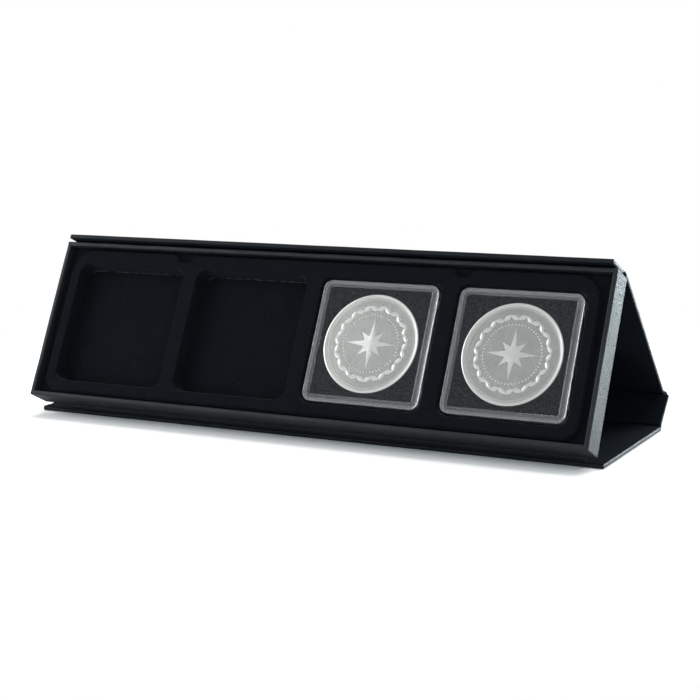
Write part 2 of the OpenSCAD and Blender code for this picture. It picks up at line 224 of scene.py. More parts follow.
put(grain_group, made["Height"], calc(grain_group, "ADD", rough_height, pebbles.outputs["Distance"]))
put(grain_group, made["Tone"], calc(grain_group, "ADD", streak_height, 0.35))
print("group", grain_group.name)

# %% Patches: slow changes of tone over a surface, as handling and nap leave them
patch_group, given, made = shader_group("patches", {"Scale": 60, "Contrast": 1}, ["Tone"])
slow = noise_at(patch_group, given["Vector"], given["Scale"], 4)
spread = calc(patch_group, "MULTIPLY", calc(patch_group, "SUBTRACT", slow, 0.5), given["Contrast"])
put(patch_group, made["Tone"], calc(patch_group, "ADD", spread, 0.5))
print("group", patch_group.name)

# %% Lint: a few bright specks, each in its own cell, most cells left empty
lint_group, given, made = shader_group("lint", {"Scale": 900, "Share": 0.05, "Size": 0.2}, ["Mask"])
cells = lint_group.nodes.new("ShaderNodeTexVoronoi")
put(lint_group, cells.inputs["Vector"], given["Vector"])
put(lint_group, cells.inputs["Scale"], given["Scale"])
luck = lint_group.nodes.new("ShaderNodeSeparateColor")
put(lint_group, luck.inputs[0], cells.outputs["Color"])
chosen = calc(lint_group, "LESS_THAN", luck.outputs[0], given["Share"])
near = fit(lint_group, cells.outputs["Distance"], 0.0, given["Size"], 1.0, 0.0)
put(lint_group, made["Mask"], calc(lint_group, "MULTIPLY", chosen, near))
print("group", lint_group.name)

# %% [markdown]
# ## Materials
# A black material is never quite black. Leatherette is smooth enough to mirror the room
# softly, flock swallows light and glows only at its edges, and foam is a dusty grey.
# Patterns read Object coordinates, so they sit still on a piece, and constants such as
# sheen are set on the shader's own sockets. Only the flock's pale lines follow the piece's
# shape: a painted highlight on the lips that face the lamps, and a pale line at the foot
# of one wall. So they come from an attribute that the form's points carry.

# %% Material helpers
def new_material(name, **sockets):
    """A Principled material with plain values, and the socket of Object coordinates."""
    material = bpy.data.materials.new(name)
    material.use_nodes = True
    tree = material.node_tree
    shader = tree.nodes["Principled BSDF"]
    for label, value in sockets.items():
        shader.inputs[label.replace("_", " ")].default_value = value
    coordinates = tree.nodes.new("ShaderNodeTexCoord").outputs["Object"]
    return material, tree, shader, coordinates


def use(tree, group, coordinates, **values):
    node = tree.nodes.new("ShaderNodeGroup")
    node.node_tree = group
    put(tree, node.inputs["Vector"], coordinates)
    for label, value in values.items():
        node.inputs[label].default_value = value
    return node.outputs


def tint(tree, factor, dark, light):
    node = tree.nodes.new("ShaderNodeMix")
    node.data_type = "RGBA"
    put(tree, node.inputs["Factor"], factor)
    put(tree, node.inputs["A"], dark if isinstance(dark, bpy.types.NodeSocket) else (*dark, 1))
    put(tree, node.inputs["B"], (*light, 1))
    return node.outputs["Result"]


def emboss(tree, shader, height, depth):
    node = tree.nodes.new("ShaderNodeBump")
    node.inputs["Distance"].default_value = depth
    put(tree, node.inputs["Height"], height)
    put(tree, shader.inputs["Normal"], node.outputs["Normal"])


def mix_shaders(tree, factor, first, second):
    """The first shader where factor is 0, and the second where it is 1."""
    node = tree.nodes.new("ShaderNodeMixShader")
    for socket, value in zip(node.inputs, (factor, first, second)):
        put(tree, socket, value)
    return node.outputs[0]


def show(tree, shader):
    """Makes a shader the one that the material's surface shows."""
    put(tree, tree.nodes["Material Output"].inputs["Surface"], shader)


# %% Leatherette
def leatherette(name, dark, light, rough, gloss, grain_scale, depth):
    cool = dict(Specular_IOR_Level=gloss, Specular_Tint=(0.86, 0.95, 1, 1))
    material, tree, shader, at = new_material(name, **cool)
    grain = use(tree, grain_group, at, Scale=grain_scale, Streak=0.5)
    patches = use(tree, patch_group, at, Scale=70, Contrast=0.9)
    lint = use(tree, lint_group, at, Scale=420, Share=0.05, Size=0.13)
    colour = tint(tree, calc(tree, "MULTIPLY", grain["Tone"], patches["Tone"]), dark, light)
    put(tree, shader.inputs["Base Color"], tint(tree, lint["Mask"], colour, (0.12, 0.125, 0.13)))
    handled = fit(tree, patches["Tone"], 0.2, 0.8, rough + 0.06, rough - 0.06)
    put(tree, shader.inputs["Roughness"], handled)
    emboss(tree, shader, grain["Height"], depth)
    return material


cover_leather = leatherette(
    "cover_leatherette", dark=(0.005, 0.007, 0.010), light=(0.020, 0.024, 0.030),
    rough=0.46, gloss=0.2, grain_scale=1700, depth=0.00005,
)
tray_leather = leatherette(
    "tray_leatherette", dark=(0.009, 0.011, 0.014), light=(0.036, 0.042, 0.050),
    rough=0.50, gloss=0.28, grain_scale=1000, depth=0.0001,
)
print(cover_leather.name, tray_leather.name)


# %% Lining paper, flock and foam
def lining_paper():
    dull = dict(Specular_IOR_Level=0.02, Specular_Tint=(0.8, 0.92, 1, 1))
    material, tree, shader, at = new_material("black_lining_paper", **dull)
    fibres = use(tree, grain_group, at, Scale=2600, Streak=0.9)
    patches = use(tree, patch_group, at, Scale=45, Contrast=1.2)
    lint = use(tree, lint_group, at, Scale=260, Share=0.06, Size=0.1)
    colour = tint(tree, patches["Tone"], (0.006, 0.008, 0.011), (0.014, 0.018, 0.024))
    put(tree, shader.inputs["Base Color"], tint(tree, lint["Mask"], colour, (0.08, 0.085, 0.09)))
    put(tree, shader.inputs["Roughness"], fit(tree, fibres["Tone"], 0.3, 0.9, 1.0, 0.86))
    emboss(tree, shader, fibres["Height"], 0.00003)
    return material


def flock():
    """Flock, paler in broken lines where an attribute on the points says: a painted highlight on two pocket
    lips, and a pale line at one wall's foot.
    """
    sheen = dict(Sheen_Weight=0.10, Sheen_Roughness=0.35, Sheen_Tint=(0.55, 0.68, 0.85, 1))
    material, tree, shader, at = new_material("flock", Roughness=1.0, Specular_IOR_Level=0.1, **sheen)
    nap = use(tree, patch_group, at, Scale=150, Contrast=0.5)
    fuzz = noise_at(tree, at, 3600, 3)
    lint = use(tree, lint_group, at, Scale=620, Share=0.10, Size=0.18)
    shade = calc(tree, "MULTIPLY", calc(tree, "ADD", fuzz, 0.5), nap["Tone"])
    colour = tint(tree, shade, (0.0016, 0.0026, 0.0046), (0.0078, 0.0103, 0.0145))
    # The two lips of a pocket that face the lamps get a painted highlight, and the foot of its upper wall a
    # pale line; noise breaks both into pieces.
    lip_highlight_and_foot_line = tree.nodes.new("ShaderNodeAttribute")
    lip_highlight_and_foot_line.attribute_name = "lip_highlight_and_foot_line"
    broken = fit(tree, noise_at(tree, at, 800), 0.4, 0.62, 0.0, 1.0)
    lit_lips_and_foot_line = calc(tree, "MULTIPLY", lip_highlight_and_foot_line.outputs["Fac"], broken)
    colour = tint(tree, lit_lips_and_foot_line, colour, (0.10, 0.108, 0.118))
    put(tree, shader.inputs["Base Color"], tint(tree, lint["Mask"], colour, (0.05, 0.055, 0.06)))
    emboss(tree, shader, fuzz, 0.00016)
    return material


def black_foam():
    material, tree, shader, at = new_material("charcoal_foam", Roughness=0.95, Specular_IOR_Level=0.2)
    pores = use(tree, grain_group, at, Scale=2600, Streak=0.1)
    patches = use(tree, patch_group, at, Scale=1500, Contrast=3.0)
    lint = use(tree, lint_group, at, Scale=900, Share=0.12, Size=0.25)
    shade = calc(tree, "MULTIPLY", pores["Height"], patches["Tone"])
    colour = tint(tree, shade, (0.002, 0.003, 0.004), (0.040, 0.045, 0.050))
    put(tree, shader.inputs["Base Color"], tint(tree, lint["Mask"], colour, (0.16, 0.16, 0.16)))
    emboss(tree, shader, pores["Height"], 0.00008)
    return material


paper, flocking, foam = lining_paper(), flock(), black_foam()
print(paper.name, flocking.name, foam.name)


# %% Clear plastic, and the same plastic where the mould leaves it hazy
# Lamps are let through by a Transparent shader on shadow rays, so the coin stays lit.
def clear_plastic(name, clarity, rough, glint):
    glass = dict(Transmission_Weight=clarity, IOR=1.49, Base_Color=(0.95, 0.98, 1.0, 1))
    glass["Specular_Tint"] = (0.94 * glint, 0.97 * glint, glint, 1)
    material, tree, shader, at = new_material(name, **glass)
    haze = use(tree, patch_group, at, Scale=240, Contrast=1.6)
    put(tree, shader.inputs["Roughness"], fit(tree, haze["Tone"], 0.3, 0.9, rough * 0.3, rough))
    through = tree.nodes.new("ShaderNodeBsdfTransparent")
    through.inputs["Color"].default_value = (0.92, 0.94, 0.95, 1)
    shadow_ray = tree.nodes.new("ShaderNodeLightPath").outputs["Is Shadow Ray"]
    show(tree, mix_shaders(tree, shadow_ray, shader.outputs[0], through.outputs[0]))
    return material


# %% Silver: a satin field and a frosted relief
def silver(name, dark, light, rough, depth):
    material, tree, shader, at = new_material(name, Metallic=1.0)
    cloud = use(tree, patch_group, at, Scale=130, Contrast=1.2)
    frost = noise_at(tree, at, 6500, 3)
    put(tree, shader.inputs["Base Color"], tint(tree, cloud["Tone"], dark, light))
    put(tree, shader.inputs["Roughness"], fit(tree, frost, 0.3, 0.7, rough - 0.05, rough + 0.05))
    emboss(tree, shader, frost, depth)
    return material


clear = clear_plastic("polished_plastic", clarity=1.0, rough=0.02, glint=0.42)
moulded = clear_plastic("moulded_border", clarity=0.93, rough=0.05, glint=0.95)
satin = silver(
    "satin_silver", dark=(0.50, 0.485, 0.455), light=(0.66, 0.645, 0.605), rough=0.26, depth=0.0000008,
)
frosted = silver(
    "frosted_silver", dark=(0.80, 0.785, 0.745), light=(0.90, 0.885, 0.84), rough=0.33, depth=0.000002,
)
print(clear.name, moulded.name, satin.name, frosted.name)


# %% What lies inside: grey board and steel
def grey_board():
    material, tree, shader, at = new_material("grey_board", Roughness=0.9)
    pulp = use(tree, grain_group, at, Scale=1100, Streak=0.8)
    specks = use(tree, lint_group, at, Scale=600, Share=0.2, Size=0.2)
    colour = tint(tree, pulp["Tone"], (0.14, 0.13, 0.115), (0.26, 0.245, 0.22))
    put(tree, shader.inputs["Base Color"], tint(tree, specks["Mask"], colour, (0.06, 0.055, 0.05)))
    emboss(tree, shader, pulp["Height"], 0.00005)
    return material


def plated_steel():
    material, tree, shader, at = new_material("plated_steel", Metallic=1.0)
    marks = use(tree, grain_group, at, Scale=2400, Streak=1.0)
    colour = tint(tree, marks["Tone"], (0.45, 0.46, 0.48), (0.62, 0.63, 0.64))
    put(tree, shader.inputs["Base Color"], colour)
    put(tree, shader.inputs["Roughness"], fit(tree, marks["Tone"], 0.3, 0.9, 0.3, 0.45))
    return material


board, steel = grey_board(), plated_steel()
PANEL_BOARDS = ["base_board", "spine_board", "lid_board", "flap_board"]
TRAY_BOARDS = ["tray_back_board", "tray_top_wall", "tray_bottom_wall", "tray_left_wall", "tray_right_wall"]
INSIDE = {
    board: PANEL_BOARDS + TRAY_BOARDS,
    steel: ["flap_magnets", "tray_top_plates", "tray_bottom_plates"],
    paper: ["tray_back_lining"],
}
for material, nodes in INSIDE.items():
    for name in nodes:
        mesh = frame["nodes"][name].data
        mesh.materials.clear()
        mesh.materials.append(material)
print("CAD nodes that keep their shape:", sum(len(n) for n in INSIDE.values()))

# %% [markdown]
# ## Drawing tools
# Nearly every piece here is a stack of outlines: a panel is one outline that swells out
# of its edge, and a capsule is one that steps in and out. So a few tools do most of the
# work. One rounds the corners of a path, one joins a stack of outlines into a skin, and
# one turns the result into a finished piece on its body.

# %% Paths and outlines
def quarter(steps):
    """Angles from 0 to a right angle."""
    return [math.radians(90 * k / steps) for k in range(steps + 1)]


def rounded_path(corners, steps, closed=True):
    """A path through corners (x, y, radius), each rounded by an arc with that radius."""
    path, n = [], len(corners)
    for i, (x, y, r) in enumerate(corners):
        here = Vector((x, y))
        if r <= 0 or (not closed and i in (0, n - 1)):
            path.append(here)
            continue
        before = (Vector(corners[i - 1][:2]) - here).normalized()
        after = (Vector(corners[(i + 1) % n][:2]) - here).normalized()
        half = before.angle(after) / 2
        centre = here + (before + after).normalized() * r / math.sin(half)
        start = here + before * r / math.tan(half) - centre
        end = here + after * r / math.tan(half) - centre
        swing = start.angle_signed(end)
        for k in range(steps + 1):
            a = -swing * k / steps
            c, s = math.cos(a), math.sin(a)
            path.append(centre + Vector((start.x * c - start.y * s, start.x * s + start.y * c)))
    return path


def split_long(path, longest):
    """Adds points along a closed path wherever two neighbours are further apart than longest."""
    dense = []
    for i, p in enumerate(path):
        q = path[(i + 1) % len(path)]
        parts = max(1, math.ceil((q - p).length / longest))
        dense += [p.lerp(q, k / parts) for k in range(parts)]
    return dense


def grown(path, by):
    """A closed path moved outwards, where it runs counter-clockwise."""
    out = []
    for i, p in enumerate(path):
        before = (p - path[i - 1]).normalized()
        after = (path[(i + 1) % len(path)] - p).normalized()
        a, b = Vector((before.y, -before.x)), Vector((after.y, -after.x))
        out.append(p + (a + b) * by / (1 + a.dot(b)))
    return out


def rectangle(w, h, r, steps, along_x, along_y):
    """A rounded rectangle round (0, 0), its sides cut into along_x and along_y stretches."""
    r = max(r, 0.02)
    corners = [(w / 2, h / 2, r), (-w / 2, h / 2, r), (-w / 2, -h / 2, r), (w / 2, -h / 2, r)]
    path = rounded_path(corners, steps)
    dense, per_corner = [], steps + 1
    for side, parts in enumerate((along_x, along_y, along_x, along_y)):
        dense += path[side * per_corner:(side + 1) * per_corner]
        a, b = dense[-1], path[(side + 1) * per_corner % len(path)]
        dense += [a.lerp(b, k / parts) for k in range(1, parts)]
    return dense


# %% Skins and finished pieces
def skin(rings, caps=(True, True), looped=False):
    """Points and faces of a stack of rings with equally many points."""
    n = len(rings[0])
    points = [Vector(p) for ring in rings for p in ring]
    pairs = [(a, a + 1) for a in range(len(rings) - 1)] + [(len(rings) - 1, 0)] * looped
    faces = [
        (a * n + i, a * n + (i + 1) % n, b * n + (i + 1) % n, b * n + i)
        for a, b in pairs
        for i in range(n)
    ]
    if caps[0]:
        faces.append(tuple(reversed(range(n))))
    if caps[1]:
        faces.append(tuple(range(len(points) - n, len(points))))
    return points, faces


def solid(points, faces, inside_out=False):
    """A closed mesh with its faces outwards, or inwards where it is a hollow."""
    mesh = bpy.data.meshes.new("part")
    mesh.from_pydata(points, [], faces)
    form = bmesh.new()
    form.from_mesh(mesh)
    bmesh.ops.recalc_face_normals(form, faces=form.faces)
    if inside_out:
        bmesh.ops.reverse_faces(form, faces=form.faces)
    form.to_mesh(mesh)
    form.free()
    return mesh


def joined(parts):
    """One mesh of several (mesh, material index) pairs. None keeps a mesh's own indices."""
    form = bmesh.new()
    for mesh, index in parts:
        before = len(form.faces)
        form.from_mesh(mesh)
        form.faces.ensure_lookup_table()
        for face in form.faces[before:]:
            face.material_index = face.material_index if index is None else index
    whole = bpy.data.meshes.new("whole")
    form.to_mesh(whole)
    form.free()
    return whole


def finish_piece(name, mesh, place, body, materials, stands_for, sharp=40):
    """Places a mesh, gives it its finish and hands it to its body in the frame."""
    mesh = mesh.copy()
    mesh.name = name
    mesh.transform(place)
    for material in materials:
        mesh.materials.append(material)
    mesh.shade_smooth()
    mesh.set_sharp_from_angle(angle=math.radians(sharp))
    obj = new_object(name, mesh)
    even = obj.modifiers.new("even_shading", "WEIGHTED_NORMAL")
    even.keep_sharp = True
    if body:
        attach(obj, body)
    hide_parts(*stands_for)
    print(f"{name}: {len(mesh.polygons)} faces")
    return obj


# %% [markdown]
# ## The cover's four panels
# A panel is grey board in leatherette, which folds over the edges and leaves them softly
# round. A plain box with a bevel would do, but its round edges would not swell out of
# the soft joints. So a panel is a row of slices along its width: they are full height in
# the middle and shrink round a quarter circle at a free edge. The board's room is left
# hollow. A lining sheet lies on the inner face, and its edge draws a thin line of light.

# %% One slice through a panel, and the panel from its slices
edge_r = 0.45
wrap_top = 1.6
slice_steps = 5
slice_spans = 24


def slab_slice(half_l, low, high, r, placed):
    """Points round a slice with round ends, each put in its place by placed(x, z)."""
    r = min(r, (high - low) / 2)
    inner = half_l - r
    right = ((inner, low + r, -90), (inner, high - r, 0))
    left = ((-inner, high - r, 90), (-inner, low + r, 180))
    outline = []
    for cx, cz, start in right + left:
        for k in range(slice_steps + 1):
            a = math.radians(start + 90 * k / slice_steps)
            outline.append((cx + r * math.cos(a), cz + r * math.sin(a)))
        # The long upper and lower sides run from one round end to the other.
        if start in (0, 180):
            z = high if start == 0 else low
            outline += [(cx - 2 * cx * k / slice_spans, z) for k in range(1, slice_spans)]
    return [placed(x, z) for x, z in outline]


def ripple(slow, fast, share):
    """A slow layer of smooth noise and a share of a fast one, each read at its own place."""
    return noise.noise(Vector(slow)) + share * noise.noise(Vector(fast))


def wavy(p, amount):
    """Moves a point of an edge a little along the panel, as turned-in leatherette does."""
    wave = ripple((p.x / 14, 4.7, p.z / 3), (p.x / 5, 9.1, p.z / 2), 0.5)
    return p + Vector((0, amount * wave, 0))


def panel_slices(half_l, start, end, low, high, r, free, uneven=0.0):
    """Slices from y = start to y = end, closing round an end that is free."""
    rows = [(start, 0, 0)]
    if free[0]:
        rows = [(start + r - r * math.cos(a), r - r * math.sin(a), uneven) for a in quarter(slice_steps)]
    if free[1]:
        rows += [(end - r + r * math.sin(a), r - r * math.cos(a), uneven) for a in quarter(slice_steps)]
    else:
        rows.append((end, 0, 0))
    return [
        slab_slice(half_l - shrink, low + shrink, high - shrink, r,
                   lambda x, z: wavy(Vector((x, y, z)), give))
        for y, shrink, give in rows
    ]


# %% The four panels, each with the room of its board left hollow
turn_in_wave = 0.15
board_room = 0.02
FREE = {"base": (True, False), "spine": (False, False), "lid": (False, False), "flap": (False, True)}


def panel_extent(name):
    """Half the length of a panel, and where it starts and ends."""
    low, high = measure(f"{name}_outer_wrap", PANELS[name])
    return high.x, low.y, high.y


def board_hollow(low, high):
    """A box round a board's corners, with its faces turned inwards."""
    x0, x1 = low.x - board_room, high.x + board_room
    rings = [
        [(x0, low.y, z), (x1, low.y, z), (x1, high.y, z), (x0, high.y, z)]
        for z in (low.z - board_room, high.z + board_room)
    ]
    return solid(*skin(rings), inside_out=True)


for name, place in PANELS.items():
    outside = solid(*skin(panel_slices(*panel_extent(name), 0, wrap_top, edge_r, FREE[name], turn_in_wave)))
    hollow = board_hollow(*measure(f"{name}_board", place))
    finish_piece(f"{name}_leatherette", joined([(outside, 0), (hollow, 0)]), place, name,
                 [cover_leather], [f"{name}_outer_wrap"])

# %% Lining sheets
sheet_inset = 0.22
sheet_low = 1.52
sheet_edge_r = 0.1
for name, place in PANELS.items():
    half_l, start, end = panel_extent(name)
    y0 = start + sheet_inset * FREE[name][0]
    y1 = end - sheet_inset * FREE[name][1]
    slices = panel_slices(half_l - sheet_inset, y0, y1, sheet_low, panel_t, sheet_edge_r, FREE[name])
    finish_piece(f"{name}_lining_sheet", solid(*skin(slices)), place, name,
                 [paper], [f"{name}_lining"])

# %% [markdown]
# ## Soft joints
# Between two panels the boards stop, and only leatherette and lining carry on, so the
# cover folds there. The joint is drawn as slices again, now along a bent line: the outer
# skin runs round the bend, and the lining dips into the groove.

# %% Joints between panels
bend_r = 1.0
groove = 2 * panel_extent("spine")[1]
groove_t, flap_groove_t = 0.6, 1.0
level_share = 0.55


def climb(share):
    """How far the lining has risen out of the groove, at a share of its reach."""
    return max(0.0, (share - level_share) / (1 - level_share)) ** 0.5


def bend_stations(turn, reach, dip, steps=10):
    """(point on the outer skin, direction inwards, thickness) along a joint."""
    lead = bend_r * math.tan(turn / 2)
    stations = []
    for k in range(steps + 1):
        s = -reach + (reach - lead) * k / steps
        stations.append((Vector((s, 0)), 0.0, abs(s)))
    for k in range(1, steps + 1):
        a = turn * k / steps
        bent = Vector((-lead + bend_r * math.sin(a), bend_r - bend_r * math.cos(a)))
        stations.append((bent, a, lead))
    for k in range(1, steps + 1):
        s = lead + (reach - lead) * k / steps
        stations.append((Vector((s * math.cos(turn), s * math.sin(turn))), turn, s))
    return [
        (point, Vector((-math.sin(a), math.cos(a))), dip + (panel_t - dip) * climb(away / reach))
        for point, a, away in stations
    ]


def soft_joint(name, body_a, body_b, turn, dip, stands_for):
    half_a, _, end_a = panel_extent(body_a)
    half_b = panel_extent(body_b)[0]
    fold_y = 0 if body_a == "base" else end_a + groove / 2
    place = PANELS[body_a] @ Matrix.Translation((0, fold_y, 0))
    stations = bend_stations(turn, groove / 2, dip)
    rings = []
    for i, (point, inward, thick) in enumerate(stations):
        half_l = half_a + (half_b - half_a) * i / (len(stations) - 1)
        rings.append(slab_slice(half_l, 0, thick, edge_r, lambda x, z: Vector((x, *(point + inward * z)))))
    obj = finish_piece(name, solid(*skin(rings)), place, None, [cover_leather], stands_for)
    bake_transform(obj)


soft_joint("base_spine_joint", "base", "spine", spine_angle, groove_t, ["base_spine_fold"])
soft_joint("spine_lid_joint", "spine", "lid", lid_angle - spine_angle, groove_t, ["spine_lid_fold"])
soft_joint("lid_flap_joint", "lid", "flap", flap_angle - lid_angle, flap_groove_t, ["lid_flap_fold"])

# %% [markdown]
# ## The tray's wrap
# One sheet of leatherette covers the tray's walls: it starts behind the back, climbs the
# outside, rolls over the rim and runs down inside. Its section is drawn once, as a bent
# strip with real thickness, and carried round the tray. Glue and turned corners leave
# such a rim slightly lumpy, so a little noise moves its points, and highlights waver.

# %% Tray wrap
wall_t = 1.8
skin_t = 0.22
turn_in = 1.5
corner_r = 0.35
back_r, rim_r, inner_r = 0.5, 0.6, 0.5
board_top = 1.55
lump, lump_reach = 0.11, 3
seam_depth, seam_half_w = 0.1, 0.06


def strip_section():
    """Closed section of the wrap as (distance in from the tray's side, height)."""
    d, w, t = tray_d, wall_t, skin_t
    outer = [(turn_in, 0, 0), (0, 0, back_r), (0, d, rim_r), (w, d, inner_r), (w, board_top, 0)]
    inner = [(turn_in, t, 0), (t, t, back_r - t), (t, d - t, rim_r - t), (w - t, d - t, inner_r - t),
             (w - t, board_top, 0)]
    return rounded_path(outer, 5, closed=False) + rounded_path(inner, 5, closed=False)[::-1]


def lumpy(p):
    """Swells the rim a little, and less and less down the wall."""
    near_rim = max(0.0, 1 - (tray_d - p.z) / lump_reach)
    wave = ripple((p.x / 16, p.y / 9, 3.1), (p.x / 4, p.y / 4, 7.7), 0.6)
    lift = lump * (0.5 + wave) * near_rim
    return p + Vector((0, math.copysign(lift, p.y - tray_w / 2), lift))


def seamed(p, height):
    """Draws a point on a corner's diagonal inwards, where the wrap meets itself."""
    off_diagonal = abs((tray_l / 2 - abs(p.x)) - (tray_w / 2 - abs(p.y)))
    cut = max(0.0, 1 - off_diagonal / seam_half_w)
    towards = Vector((-math.copysign(1, p.x), -math.copysign(1, p.y)))
    return p + towards * seam_depth * cut * (back_r <= height <= tray_d - rim_r)


rings = []
for inset, height in strip_section():
    outline = rectangle(tray_l - 2 * inset, tray_w - 2 * inset, corner_r - inset,
                        steps=6, along_x=108, along_y=30)
    outline = [seamed(p, height) for p in outline]
    rings.append([lumpy(Vector((p.x, p.y + tray_w / 2, height))) for p in outline])
finish_piece("tray_leatherette", solid(*skin(rings, (False, False), looped=True)), TRAY, "tray",
             [tray_leather], ["tray_wrap"])

# %% [markdown]
# ## The flocked form
# The insert is one sheet of plastic, drawn hot over a mould and flocked. Heat leaves
# every edge round and every wall slightly slanted. It could be cut with booleans, but
# those give sharp, ragged edges. Here each round edge is a stack of outlines, and the two
# flat levels between them are filled in one step that leaves the pockets open. Two lips of
# each pocket, those facing the lamps, get a painted highlight, and the foot of its upper
# wall a pale line; an attribute on the form's points marks them for the material.

# %% Places of the pockets, from the capsules in the frame
def capsule_place(which):
    low, high = measure(f"{which}_capsule_base", TRAY)
    return Vector(((low.x + high.x) / 2, (low.y + high.y) / 2, low.z))


SEATS = {which: capsule_place(which) for which in ("third", "fourth")}
third, fourth = SEATS.values()
pitch = fourth.x - third.x
pocket_centres = [Vector((third.x + pitch * i, third.y)) for i in (-2, -1, 0, 1)]
form_low, form_high = measure("pocket_insert", TRAY)
print(f"pocket pitch {pitch:.1f} mm")

# %% Outline of the platform, with its two finger notches
to_tray = TRAY.inverted()
form_points = [to_tray @ v.co for v in frame["nodes"]["pocket_insert"].data.vertices]
platform_top = form_high.z
level = [p for p in form_points if p.z > platform_top - 0.01]
platform_l = 2 * max(p.x for p in level)
platform_low, platform_high = min(p.y for p in level), max(p.y for p in level)
flange_z = max(p.z for p in form_points if p.x > form_high.x - 0.01)
form_t = 0.7
notch_x, notch_w, notch_inner_w, notch_depth = 60.5, 9.0, 4.6, 2.8
notch_mouth_r, notch_foot_r = 1.4, 0.7
lower_r, upper_r = 6, 10
longest_span = 4
print(f"platform {platform_l:.1f} mm long, {platform_top - flange_z:.1f} mm over its flange")


def notch_corners(x):
    """Four corners of a notch, drawn from right to left along the upper edge."""
    mouth_y, foot_y = platform_high, platform_high - notch_depth
    return [(x + notch_w / 2, mouth_y, notch_mouth_r), (x + notch_inner_w / 2, foot_y, notch_foot_r),
            (x - notch_inner_w / 2, foot_y, notch_foot_r), (x - notch_w / 2, mouth_y, notch_mouth_r)]


platform = split_long(rounded_path([
    (platform_l / 2, platform_low, lower_r), (platform_l / 2, platform_high, upper_r),
    *notch_corners(notch_x), *notch_corners(-notch_x),
    (-platform_l / 2, platform_high, upper_r), (-platform_l / 2, platform_low, lower_r),
], 8), longest_span)

# %% Rings of the form
pocket_depth = 6.3
pocket_w = 49.2
pocket_r = 4.1
pocket_floor_r = 0.5
pocket_lip, pocket_slant = 0.9, 0.35
lip_wave = 0.12
top_r, foot_r = 0.5, 0.6
draft = 0.2
flange_r, flange_corner_r = 0.5, 1.2
fold_steps = 5
turns = quarter(fold_steps)
print(f"pockets {pocket_w} mm square and {pocket_depth} mm deep")


def waver(p, amount):
    """Flock and heat leave the edges a little uneven."""
    shift = ripple((p.x / 7, p.y / 7, 1.3), (p.x / 2, p.y / 2, 5.3), 0.5)
    return Vector((p.x, p.y, p.z + amount * shift))


def platform_rings():
    """The platform's round upper edge, its wall and its round foot."""
    z, r = platform_top, foot_r
    down = [(-top_r + top_r * math.sin(a), z - top_r + top_r * math.cos(a)) for a in turns]
    foot = [(draft + r - r * math.cos(a), flange_z + r - r * math.sin(a)) for a in turns]
    return [[Vector((p.x, p.y, h)) for p in grown(platform, by)] for by, h in down + foot]


def pocket_rings(centre):
    """A pocket's flat edge, its round lip, its slanting wall and its round foot."""
    z, floor, r = platform_top, platform_top - pocket_depth, pocket_floor_r
    lip = pocket_lip
    down = [(lip - lip * 0.5 * math.sin(a), z - top_r + top_r * math.cos(a)) for a in turns]
    foot = [(-pocket_slant - r * (1 - math.cos(a)), floor + r - r * math.sin(a)) for a in turns]
    square = rectangle(pocket_w, pocket_w, pocket_r, steps=7, along_x=12, along_y=12)
    rings = []
    for by, h in down + foot:
        outline = [Vector((p.x + centre.x, p.y + centre.y, h)) for p in grown(square, by)]
        rings.append([waver(p, -lip_wave * (by > 0)) for p in outline])
    flat = [Vector((p.x, p.y, z)) for p in rings[0]]
    return [flat] + rings[1:]


def border_rings():
    """The flange's outer edge, and the skirt that stands on the tray's board."""
    l, w, r = form_high.x * 2, form_high.y - form_low.y, flange_r
    turned = [(r - r * math.sin(a), flange_z - r + r * math.cos(a)) for a in turns]
    rings = []
    for inset, h in turned + [(0, form_low.z)]:
        outline = rectangle(l - 2 * inset, w - 2 * inset, flange_corner_r - inset,
                            steps=5, along_x=20, along_y=6)
        rings.append([Vector((p.x, p.y + tray_w / 2, h)) for p in outline])
    return rings


# %% Join the rings into one sheet
def add_skin(form, rings):
    """Adds a stack of rings. Returns their points, and the edges of the first and last ring."""
    rows = [[form.verts.new(p) for p in ring] for ring in rings]
    n = len(rows[0])
    for low, high in zip(rows, rows[1:]):
        for i in range(n):
            form.faces.new((low[i], low[(i + 1) % n], high[(i + 1) % n], high[i]))
    first, last = (
        [form.edges.get((row[i], row[(i + 1) % n])) for i in range(n)] for row in (rows[0], rows[-1])
    )
    return rows, first, last


form = bmesh.new()
lip_highlight_and_foot_line = form.verts.layers.float.new("lip_highlight_and_foot_line")
_, platform_edge, platform_foot = add_skin(form, platform_rings())
_, flange_edge, _ = add_skin(form, border_rings())
pocket_edges = []
# A pocket's rows go down the lip's round edge and then down the foot's, so these two lie
# half way down the lip and just above the floor.
lip_row, floor_row = fold_steps - 2, fold_steps + 4
# How strong the painted lip highlight and the pale foot line are.
lip_highlight, foot_line = 0.6, 1.0
side = 0.46 * pocket_w
for centre in pocket_centres:
    rows, edge, _ = add_skin(form, pocket_rings(centre))
    form.faces.new(rows[-1])
    pocket_edges += edge
    # Mark the pale line at the upper wall's foot, and the painted highlight on the right and lower lips,
    # which face the lamps.
    for v in rows[floor_row]:
        v[lip_highlight_and_foot_line] = foot_line * (v.co.y > centre.y + side)
    for v in rows[lip_row]:
        v[lip_highlight_and_foot_line] = lip_highlight * (v.co.x > centre.x + side or v.co.y < centre.y - side)
bmesh.ops.triangle_fill(form, use_beauty=True, edges=platform_edge + pocket_edges)
bmesh.ops.triangle_fill(form, use_beauty=True, edges=platform_foot + flange_edge)
bmesh.ops.recalc_face_normals(form, faces=form.faces)
if max(form.faces, key=lambda f: f.calc_center_median().z).normal.z < 0:
    bmesh.ops.reverse_faces(form, faces=form.faces)
form_mesh = bpy.data.meshes.new("form")
form.to_mesh(form_mesh)
form.free()
flocked_form = finish_piece("flocked_form", form_mesh, TRAY, "tray", [flocking],
                            ["pocket_insert"], sharp=50)
thickness = flocked_form.modifiers.new("sheet", "SOLIDIFY")
thickness.thickness = form_t * MM
thickness.offset = -1
flocked_form.modifiers.move(1, 0)

